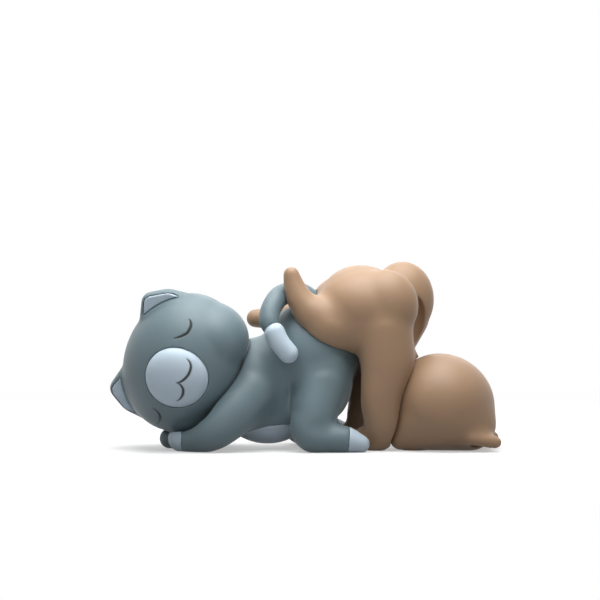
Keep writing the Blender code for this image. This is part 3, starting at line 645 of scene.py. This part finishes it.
grey_muzzle = press_lines(grey_muzzle, MOUTH)
grey_head = press_lines(grey_head, [LEFT_EYE, RIGHT_EYE])
BROWN_SCALE = 0.62  # the brown cat's mouth is the grey one's, smaller and lower
BROWN_DROP = 3
brown_mouth = [[(x * BROWN_SCALE, z * BROWN_SCALE - BROWN_DROP) for x, z in line] for line in MOUTH]
brown_muzzle = press_lines(brown_muzzle, brown_mouth)
print("muzzle with its mouth:", len(grey_muzzle.polygons), "faces; head with its eyes:", len(grey_head.polygons))

# %% [markdown]
# ## Rooms for the heads
# A head that turns needs a room that is cut from its own widest reach. At each height and on each side, rays from
# outside find how far the head reaches at rest and on its way to either limit, and the room is that much and a gap
# larger. A round room would be simpler, but it would have to be as wide as the ears all round. The same rule serves
# the grey head, which turns far, and the brown one, which turns a little. A boss is left standing under each neck.

# %% The room a head turns in
SWEEP_SIDES = 160
SWEEP_BANDS = 80
SWEEP_STEPS = 9


def swept_room(form, limit):
    """The widest reach of a form while it turns about its z axis to a limit either way, plus the turning gap."""
    finder = BVHTree.FromPolygons([v.co for v in form.vertices], [p.vertices for p in form.polygons])
    low = min(vertex.co.z for vertex in form.vertices)
    high = max(vertex.co.z for vertex in form.vertices)
    levels = [(low + high - (high - low) * math.cos(math.pi * band / SWEEP_BANDS)) / 2
              for band in range(SWEEP_BANDS + 1)]
    turns = [math.radians(limit) * (2 * step / (SWEEP_STEPS - 1) - 1) for step in range(SWEEP_STEPS)]

    def reach(angle, level):
        way = Vector((math.cos(angle), math.sin(angle), 0))
        hit = finder.ray_cast(way * FAR + Vector((0, 0, level)), -way)[0]
        return hit.xy.length if hit else 0.0

    bm = bmesh.new()
    rings = []
    for below, level, above in zip([low] + levels, levels, levels[1:] + [high]):
        heights = ((below + level) / 2, level, (level + above) / 2)
        ring = []
        for side in range(SWEEP_SIDES):
            angle = math.tau * side / SWEEP_SIDES
            radius = max(reach(angle + turn, height) for turn in turns for height in heights) + TURNING_GAP
            ring.append(bm.verts.new((radius * math.cos(angle), radius * math.sin(angle), level)))
        rings.append(ring)
    for lower, upper in zip(rings, rings[1:]):
        for side in range(SWEEP_SIDES):
            after = (side + 1) % SWEEP_SIDES
            bm.faces.new((lower[side], lower[after], upper[after], upper[side]))
    for ring, level in ((rings[0], low - TURNING_GAP), (rings[-1], high + TURNING_GAP)):
        tip = bm.verts.new((0, 0, level))
        for side in range(SWEEP_SIDES):
            bm.faces.new((ring[side], ring[(side + 1) % SWEEP_SIDES], tip))
    return closed_mesh(bm)


# %% The boss and the bore under a neck
NECK_WELL = 12  # depth of the well in a body that the spool's lower flange drops into


def neck_room(sizes, room):
    """A room less the boss that the neck stands on, in the toy's frame."""
    boss = block((-FAR, -FAR, -FAR), (FAR, FAR, -sizes.neck_face - TURNING_GAP))
    return placed(cut(room, boss), sizes.frame)


def drill_neck(body, sizes):
    """The hole for the spool's stem and the well for its lower flange."""
    face = -sizes.neck_face
    roof = face - TURNING_GAP - NECK_WALL
    hole = rod((0, 0, roof - NECK_WALL), (0, 0, face + NECK_WALL), STEM_RADIUS + SPOOL_GAP)
    well = rod((0, 0, roof), (0, 0, roof - NECK_WELL), FLANGE_RADIUS + TURNING_GAP)
    return cut(cut(body, placed(hole, sizes.frame)), placed(well, sizes.frame))


GREY_HEAD_LIMIT = 25
BROWN_HEAD_LIMIT = 6
grey_room = neck_room(GREY_HEAD, swept_room(GREY_HEAD.form, GREY_HEAD_LIMIT))
brown_room = neck_room(BROWN_HEAD, swept_room(BROWN_HEAD.form, BROWN_HEAD_LIMIT))
print("rooms:", len(grey_room.polygons), "and", len(brown_room.polygons), "faces")

# %% [markdown]
# ## Parting the pale tips
# The paw tip, the toes and the tail tip are mouldings of their own in a paler vinyl. The paw and the toes are parted
# from their limbs by a flat seam, because a tip that is made by itself would never carry on the limb's outline. The
# tail tip has a round end, and the tail is cut back to fit over it. After the cut, both sides get a new fine skin,
# which rounds the two lips of the seam a little, so that the joint shows as the thin soft line that moulded parts
# have.

# %% Tips and their seams
GREY_PAW_SEAM = ((-65, -11, 6.6), (-1, 0.25, 0))
GREY_NEAR_TOE_SEAM = ((19, -28, 6.6), (1, 0, -0.1))
GREY_FAR_TOE_SEAM = ((19, 28, 6.6), (1, 0, -0.1))
GREY_TAIL_TIP = [(-19, -25.6, 62.3, 5.4), (-16.4, -26.6, 57, 5.3), (-12, -27, 51.5, 5.2)]
GREY_TAIL_TRUNK = GREY_TAIL[:6] + [(-20.2, -24.2, 64, 4.6)]  # the tail's own stations, which end inside the tip
TIP_SEAM = 0.1
TIP_GRAIN = 0.35
BOX_MARGIN = 1  # how far the box that parts a tip stands clear of it


def beyond(seam_plane, stations, gap=0.0):
    """A box that holds just the tip beyond a seam, in the toy's frame."""
    seam = Vector(seam_plane[0])
    outward = Vector(seam_plane[1]).normalized()
    end = Vector(stations[-1][:3]) - seam
    radius = max(station[3] for station in stations[-2:])
    length = end.dot(outward) + radius + BOX_MARGIN + gap
    width = 2 * (end.cross(outward).length + radius + BOX_MARGIN)
    turn = outward.to_track_quat("Z", "Y").to_matrix().to_4x4()
    box = block((-width / 2, -width / 2, -gap), (width / 2, width / 2, length))
    return placed(box, GREY_CAT @ Matrix.Translation(seam) @ turn)


def parted(form, trunk, seam_plane, stations):
    """Part a tip from a limb, and give the tip and what stays of the trunk."""
    tip = cut(form, beyond(seam_plane, stations), "INTERSECT")
    return tip, cut(trunk, beyond(seam_plane, stations, TIP_SEAM))


# %% The grey body without its tips, and the tips
body = cut(grey_form, grey_room)
near_paw, body = parted(grey_form, body, GREY_PAW_SEAM, GREY_NEAR_ARM)
near_toe, body = parted(grey_form, body, GREY_NEAR_TOE_SEAM, GREY_NEAR_LEG)
far_toe, body = parted(grey_form, body, GREY_FAR_TOE_SEAM, other_side(GREY_NEAR_LEG))
grey_tail = cut(tail_form(GREY_TAIL_TRUNK, GREY_CAT), tail_form(GREY_TAIL_TIP, GREY_CAT, TIP_SEAM))
near_paw, near_toe, far_toe, tail_tip, grey_tail = [
    fused(mesh, TIP_GRAIN, LIP_ROUNDNESS)
    for mesh in (cut(near_paw, grey_room), near_toe, far_toe, tail_form(GREY_TAIL_TIP, GREY_CAT), grey_tail)]
print("tail:", len(grey_tail.polygons), "faces, its tip", len(tail_tip.polygons))

# %% The belly panel and the last skin of the grey body
GREY_BELLY_PANEL = ((-17, 0, 5), (21, 18.5, 14.5))
BODY_RIM_GRAIN = 0.6

panel = cut(grey_form, placed(ball(*GREY_BELLY_PANEL), GREY_CAT), "INTERSECT")
panel = fused(panel, TIP_GRAIN, LIP_ROUNDNESS)
body = cut(body, placed(ball(*GREY_BELLY_PANEL, SEAM), GREY_CAT))
body = cut(body, tail_form(GREY_TAIL, GREY_CAT, SEAM))
grey_body = drill_neck(fused(body, BODY_RIM_GRAIN, RIM_ROUNDNESS), GREY_HEAD)
print("grey body:", len(grey_body.polygons), "faces")

# %% [markdown]
# ## The brown cat
# The brown cat has no simple underside: its belly, arms and legs lie on the grey cat everywhere. Shaping that hollow
# by hand would never fit. So its own form is blended first, and the grey cat's form, half a millimetre larger, is
# then cut out of it. It is a loose piece and lifts off the way it lies.

# %% Sizes of the brown cat's body
BROWN_MASSES = {
    "torso": ((29, -3.5, 75), (22.5, 24.5, 20.5)),
    "hip": ((20, 0, 76), (17, 18, 14)),
    "near side": ((33, -10, 74), (26, 20.5, 20)),
    "near shoulder": ((43.9, -14, 75.5), (17.6, 14.5, 18.7)),
    "far shoulder": ((47, 18, 76.5), (16.5, 14.5, 19.8)),
}
BROWN_THROAT = ((56.5, 4, 59), (8, 10, 21))
BROWN_NECK = [(34, 0, 64, 16), (44, 0, 54, 12.5), (51, 1, 46, 10.8)]
BROWN_NEAR_ARM = [(43.5, -15, 64, 15), (45.5, -15.5, 45, 14.2), (43, -16, 26, 11.2), (42.5, -13.5, 13, 9.9),
                  (39.5, -12, 7, 8.2), (32.5, -11, 5.8, 6.4)]
BROWN_FAR_ARM = [(46, 18, 68, 15), (38, 19, 50, 13), (30.5, 18, 30, 11.2), (27.5, 15, 16, 9.5), (25, 12.5, 8, 8),
                 (20, 11, 6.2, 6.4)]
BROWN_NEAR_LEG = [(25, -12, 68, 18), (15.5, -19, 65.5, 14), (8.5, -22.5, 70.5, 10.2), (2.2, -24, 77, 7.4),
                  (-1.5, -24, 84, 6), (-3.6, -24, 91.5, 4.4)]
BROWN_FAR_LEG = [(20, 12, 70, 17), (5.5, 21, 69, 11.4), (-9.5, 28, 66.5, 7.8), (-22, 31, 64.7, 6),
                 (-34, 31, 64.5, 5)]
BROWN_TAIL = [(16, 5, 76, 6), (7, 14, 77, 5.7), (-2.5, 25, 72, 5.3), (-6, 32, 59, 5), (-4, 34, 46, 4.8)]
NEST_GAP = 0.5

# %% The brown body, nested on the grey cat
nest = grey_body_form(NEST_GAP)
limbs = [BROWN_NECK, BROWN_NEAR_ARM, BROWN_FAR_ARM, BROWN_NEAR_LEG, BROWN_FAR_LEG]
form = blended(BROWN_MASSES.values(), limbs, BODY_GRAIN, BODY_ROUNDNESS)
body = cut(placed(filled(form, BODY_FILL, BODY_GRAIN), BROWN_CAT), nest)
body = cut(body, tail_form(GREY_TAIL, GREY_CAT, NEST_GAP))
body = cut(body, placed(ball(*BROWN_THROAT), BROWN_CAT))
body = cut(body, brown_room)
body = cut(body, tail_form(BROWN_TAIL, BROWN_CAT, SEAM))
brown_body = drill_neck(fused(body, BODY_RIM_GRAIN, RIM_ROUNDNESS), BROWN_HEAD)
brown_tail = fused(cut(tail_form(BROWN_TAIL, BROWN_CAT), nest), TIP_GRAIN, LIP_ROUNDNESS)
print("brown body:", len(brown_body.polygons), "faces")

# %% [markdown]
# ## Moulded vinyl
# The toy is cast in dyed soft vinyl and left matte. Such a surface isn't quite even: its colour clouds a little over
# a centimetre or two, it has a fine grain from the mould, and its gloss varies where hands have polished it. A
# photograph of vinyl would have to be wrapped round each piece and would show seams. So all three are noise on Object
# coordinates, which stay put when a piece moves. The pressed lines are painted darker towards their bottom, as
# painted shade in the groove.

# %% The vinyl material
SHINE = 0.5
DUSTY_EDGE = 0.12  # sheen, which gives matte vinyl its pale edges
DUST_ROUGHNESS = 0.5
CLOUD_NOISE = (55, 3)  # scale and detail
POLISH_NOISE = (140, 2)
GRAIN_NOISE = (1400, 4)
GRAIN_HEIGHT = 0.05 * MM
POLISH = 0.06  # how much the roughness varies
# painted shade: the share of the vinyl's colour that is painted at the bottom of a pressed line
PAINTED_GROOVE_SHADE = 0.04  # how much of the vinyl's colour is left at the bottom of a pressed line
GROOVE_STRENGTH = 1.8


def mixed(nodes, first, second):
    """A colour mix node between two colours."""
    node = nodes.new("ShaderNodeMix")
    node.data_type = "RGBA"
    node.inputs[6].default_value = (*first, 1)
    node.inputs[7].default_value = (*second, 1)
    return node


# %% Mixing a vinyl
def vinyl(name, colour, roughness=0.5, cloud=0.05, grain=0.35):
    """Matte dyed vinyl: clouded colour, mould grain, uneven gloss and painted shade at the bottom of pressed lines."""
    material = bpy.data.materials.new(name)
    material.use_nodes = True
    nodes, links = material.node_tree.nodes, material.node_tree.links
    shader = nodes["Principled BSDF"]
    shader.inputs["Specular IOR Level"].default_value = SHINE
    shader.inputs["Sheen Weight"].default_value = DUSTY_EDGE
    shader.inputs["Sheen Roughness"].default_value = DUST_ROUGHNESS
    place = nodes.new("ShaderNodeTexCoord")

    def noise(scale, detail):
        node = nodes.new("ShaderNodeTexNoise")
        node.inputs["Scale"].default_value = scale
        node.inputs["Detail"].default_value = detail
        links.new(place.outputs["Object"], node.inputs["Vector"])
        return node.outputs["Fac"]

    tint = mixed(nodes, [value * (1 - cloud) for value in colour], [value * (1 + cloud) for value in colour])
    links.new(noise(*CLOUD_NOISE), tint.inputs[0])
    # Painted shade: the base colour darkens where the groove attribute is deep, at the bottom of the pressed lines.
    depth = nodes.new("ShaderNodeAttribute")
    depth.attribute_name = "groove"
    strength = nodes.new("ShaderNodeMath")
    strength.operation = "MULTIPLY"
    strength.use_clamp = True
    strength.inputs[1].default_value = GROOVE_STRENGTH
    painted_groove_shade = mixed(nodes, colour, [value * PAINTED_GROOVE_SHADE for value in colour])
    links.new(depth.outputs["Fac"], strength.inputs[0])
    links.new(strength.outputs[0], painted_groove_shade.inputs[0])
    links.new(tint.outputs[2], painted_groove_shade.inputs[6])
    links.new(painted_groove_shade.outputs[2], shader.inputs["Base Color"])

    gloss = nodes.new("ShaderNodeMapRange")
    gloss.inputs["To Min"].default_value = roughness - POLISH
    gloss.inputs["To Max"].default_value = roughness + POLISH
    links.new(noise(*POLISH_NOISE), gloss.inputs["Value"])
    links.new(gloss.outputs["Result"], shader.inputs["Roughness"])

    bump = nodes.new("ShaderNodeBump")
    bump.inputs["Strength"].default_value = grain
    bump.inputs["Distance"].default_value = GRAIN_HEIGHT
    links.new(noise(*GRAIN_NOISE), bump.inputs["Height"])
    links.new(bump.outputs["Normal"], shader.inputs["Normal"])
    print(name, "made")
    return material


# %% The toy's colours
SLATE = vinyl("slate vinyl", (0.122, 0.180, 0.202))
PALE_BLUE = vinyl("pale blue vinyl", (0.51, 0.62, 0.71))
TAN = vinyl("tan vinyl", (0.330, 0.205, 0.118))
LIGHT_TAN = vinyl("light tan vinyl", (0.38, 0.245, 0.15))
ACETAL = vinyl("natural acetal", (0.55, 0.55, 0.53), roughness=0.35, cloud=0.02, grain=0.15)

# %% [markdown]
# ## Handing the pieces over
# Each mesh goes to metres, gets its material and smooth shading, and rides on the body that carries it. Where a foot
# or a cheek rests on the table it is ground flat, as the solids are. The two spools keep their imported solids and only
# get a better finish.

# %% Finishing one piece
TABLE_BLOCK = block((-300, -300, -200), (300, 300, 0))
SHARP_EDGE = math.radians(50)


def finish_piece(name, mesh, matrix, material, body, flat):
    """Put a piece of the toy in its place, ready to ride on its body."""
    mesh = placed(mesh, matrix)
    if flat:
        mesh = cut(mesh, TABLE_BLOCK)
    mesh.transform(TO_WORLD)
    mesh.name = name
    mesh.materials.clear()
    mesh.materials.append(material)
    mesh.shade_smooth()
    mesh.set_sharp_from_angle(angle=SHARP_EDGE)
    piece = bpy.data.objects.new(name + "_skin", mesh)
    bpy.context.scene.collection.objects.link(piece)
    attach(piece, body)
    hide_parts(name)
    bm = bmesh.new()
    bm.from_mesh(mesh)
    open_edges = sum(not edge.is_manifold for edge in bm.edges)
    bm.free()
    mesh.calc_loop_triangles()
    print(name, len(mesh.loop_triangles), "triangles,", open_edges, "open edges")


# %% Every piece in its place
IN_PLACE = Matrix.Identity(4)
for body, matrix, material, slot, pieces in (
        ("grey_cat", IN_PLACE, SLATE, "slate_vinyl",
         (("grey_body", grey_body, True), ("grey_tail", grey_tail, False))),
        ("grey_cat", IN_PLACE, PALE_BLUE, "pale_blue_vinyl",
         (("grey_near_paw", near_paw, True), ("grey_near_toe", near_toe, True), ("grey_far_toe", far_toe, True),
          ("grey_belly_panel", panel, False), ("grey_tail_tip", tail_tip, False))),
        ("grey_turning_head", GREY_HEAD.frame, SLATE, "slate_vinyl", (("grey_head", grey_head, False),)),
        ("grey_turning_head", GREY_HEAD.frame, PALE_BLUE, "pale_blue_vinyl",
         (("grey_muzzle", grey_muzzle, False), ("grey_left_ear_lining", grey_linings[0], False),
          ("grey_right_ear_lining", grey_linings[1], False))),
        ("brown_cat", IN_PLACE, TAN, "tan_vinyl",
         (("brown_body", brown_body, True), ("brown_tail", brown_tail, False))),
        ("brown_turning_head", BROWN_HEAD.frame, TAN, "tan_vinyl", (("brown_head", brown_head, True),)),
        ("brown_turning_head", BROWN_HEAD.frame, LIGHT_TAN, "light_tan_vinyl",
         (("brown_muzzle", brown_muzzle, True), ("brown_left_ear_lining", brown_linings[0], False),
          ("brown_right_ear_lining", brown_linings[1], False)))):
    for name, mesh, flat in pieces:
        finish_piece(name, mesh, matrix, material, body, flat)

# %% The neck spools
for name in ("grey_neck_spool", "brown_neck_spool"):
    for place in frame["nodes"][name].material_slots:
        place.material = ACETAL
print("spools:", ACETAL.name)

# %% [markdown]
# ## The white table and the room
# The toy stands on a white table in an even white room. More light could turn a grey table white, but it would bleach
# the toy too. So the camera and mirror-like rays see pure white there, while the light that bounces back onto the toy
# comes from a much greyer table, and its undersides stay as dark as in the photograph. Near the toy a part of the
# table's white comes from the lamps, so that the toy's shadow shows.

# %% White to the eye, grey to the light
def seen_mask(nodes, links):
    """1 for rays from the eye, also by way of metal or glass, and 0 for light that bounces about."""
    rays = nodes.new("ShaderNodeLightPath")
    total = rays.outputs["Is Camera Ray"]
    for label in ("Is Glossy Ray", "Is Transmission Ray"):
        more = nodes.new("ShaderNodeMath")
        more.operation = "ADD"
        more.use_clamp = True
        links.new(total, more.inputs[0])
        links.new(rays.outputs[label], more.inputs[1])
        total = more.outputs[0]
    return total


# %% The table
TABLE_REACH = 6.0
TABLE_DROP = 0.0001  # how far the table lies below the soles

table_mesh = bpy.data.meshes.new("table")
corners = [(x * TABLE_REACH, y * TABLE_REACH, -TABLE_DROP) for x, y in ((-1, -1), (1, -1), (1, 1), (-1, 1))]
table_mesh.from_pydata(corners, [], [range(len(corners))])
table = bpy.data.objects.new("table", table_mesh)
bpy.context.scene.collection.objects.link(table)
print("table:", 2 * TABLE_REACH, "metres wide")

# %% The table's white
GLOW = 0.42  # how much of the table's white near the toy doesn't depend on the lamps
SEEN_GREY = 0.58  # how much of it does, which is where the toy's shadow shows
LIGHT_GREY = (0.30, 0.30, 0.31)  # the table that the toy's undersides are lit by
SHADOW_EDGES = (0.16, 0.45)  # the shadow fades out between these distances from the toy

white = bpy.data.materials.new("white table")
white.use_nodes = True
nodes, links = white.node_tree.nodes, white.node_tree.links
lit = nodes["Principled BSDF"]
lit.inputs["Specular IOR Level"].default_value = 0
lit.inputs["Roughness"].default_value = 1
seen = seen_mask(nodes, links)
spot = nodes.new("ShaderNodeTexCoord")
distance = nodes.new("ShaderNodeVectorMath")
distance.operation = "LENGTH"
links.new(spot.outputs["Object"], distance.inputs[0])
away = nodes.new("ShaderNodeMapRange")
away.interpolation_type = "SMOOTHSTEP"
away.inputs["From Min"].default_value, away.inputs["From Max"].default_value = SHADOW_EDGES
links.new(distance.outputs["Value"], away.inputs["Value"])
seen_shade = mixed(nodes, (SEEN_GREY,) * 3, (0, 0, 0))
links.new(away.outputs["Result"], seen_shade.inputs[0])
shade = mixed(nodes, LIGHT_GREY, (0, 0, 0))
links.new(seen, shade.inputs[0])
links.new(seen_shade.outputs[2], shade.inputs[7])
links.new(shade.outputs[2], lit.inputs["Base Color"])
seen_glow = nodes.new("ShaderNodeMapRange")
seen_glow.inputs["To Min"].default_value = GLOW
seen_glow.inputs["To Max"].default_value = 1.0
links.new(away.outputs["Result"], seen_glow.inputs["Value"])
glow = nodes.new("ShaderNodeMath")
glow.operation = "MULTIPLY"
links.new(seen_glow.outputs["Result"], glow.inputs[0])
links.new(seen, glow.inputs[1])
lit.inputs["Emission Color"].default_value = (1, 1, 1, 1)
links.new(glow.outputs[0], lit.inputs["Emission Strength"])
table_mesh.materials.append(white)
print(white.name, "made of", len(nodes), "nodes")

# %% The room
ROOM_LIGHT = 0.2  # what the room gives the toy, while the eye sees it at 1

world = bpy.data.worlds.new("white room")
bpy.context.scene.world = world
world.use_nodes = True
nodes, links = world.node_tree.nodes, world.node_tree.links
sky = nodes["Background"]
sky.inputs["Color"].default_value = (1, 1, 1, 1)
level = nodes.new("ShaderNodeMapRange")
level.inputs["To Min"].default_value = ROOM_LIGHT
level.inputs["To Max"].default_value = 1.0
links.new(seen_mask(nodes, links), level.inputs["Value"])
links.new(level.outputs["Result"], sky.inputs["Strength"])
print(world.name, "made")

# %% [markdown]
# ## Light and camera
# The photograph has soft highlights on top, dark undersides and thin bright edges. A large soft lamp overhead does
# most of that, one far behind the toy lights its top edges, and a weak one in front opens up the shade. The far side
# of the toy looks hardly smaller than its near side, which needs a long lens from far off. So the camera stands six
# metres away, nearly level with the toy, and looks down by four degrees.

# %% The lamps
def lamp(name, place, height, size, power):
    """A square soft lamp that looks at the middle of the toy at this height."""
    light = bpy.data.lights.new(name, "AREA")
    light.size = size
    light.energy = power
    thing = bpy.data.objects.new(name, light)
    thing.location = place
    thing.rotation_euler = (Vector((0, 0, height)) - Vector(place)).to_track_quat("-Z", "Y").to_euler()
    bpy.context.scene.collection.objects.link(thing)
    print(name, "of", power, "watts")


lamp("overhead softbox", place=(0, -0.07, 0.42), height=0.03, size=0.42, power=3.1)
lamp("rear softbox", place=(-0.05, 1.1, 0.95), height=0.04, size=1.3, power=6.5)
lamp("front fill", place=(0.05, -1.6, 0.5), height=0.04, size=1.0, power=1.6)

# %% The camera
PHOTO_WIDTH = 0.312  # how much of the toy's world the photograph spans
PHOTO_CENTRE = (-0.0031, 0.077)  # the middle of the photograph, beside the toy's own middle and above the table
CAMERA_DISTANCE = 6.0
CAMERA_RISE = math.radians(4)
look = Vector((0, math.cos(CAMERA_RISE), -math.sin(CAMERA_RISE)))
up = Vector((0, math.sin(CAMERA_RISE), math.cos(CAMERA_RISE)))
aim = Vector((PHOTO_CENTRE[0], 0, 0)) + up * PHOTO_CENTRE[1] + STAND_SHIFT * MM
lens = bpy.data.cameras.new("camera")
lens.sensor_width = 36
lens.lens = lens.sensor_width * CAMERA_DISTANCE / PHOTO_WIDTH
lens.clip_end = 50
camera = bpy.data.objects.new("camera", lens)
camera.location = aim - look * CAMERA_DISTANCE
camera.rotation_euler = look.to_track_quat("-Z", "Y").to_euler()
bpy.context.scene.collection.objects.link(camera)
bpy.context.scene.camera = camera
bpy.context.scene.view_settings.view_transform = "Standard"
print("lens:", round(lens.lens), "mm, camera at", [round(value, 2) for value in camera.location])
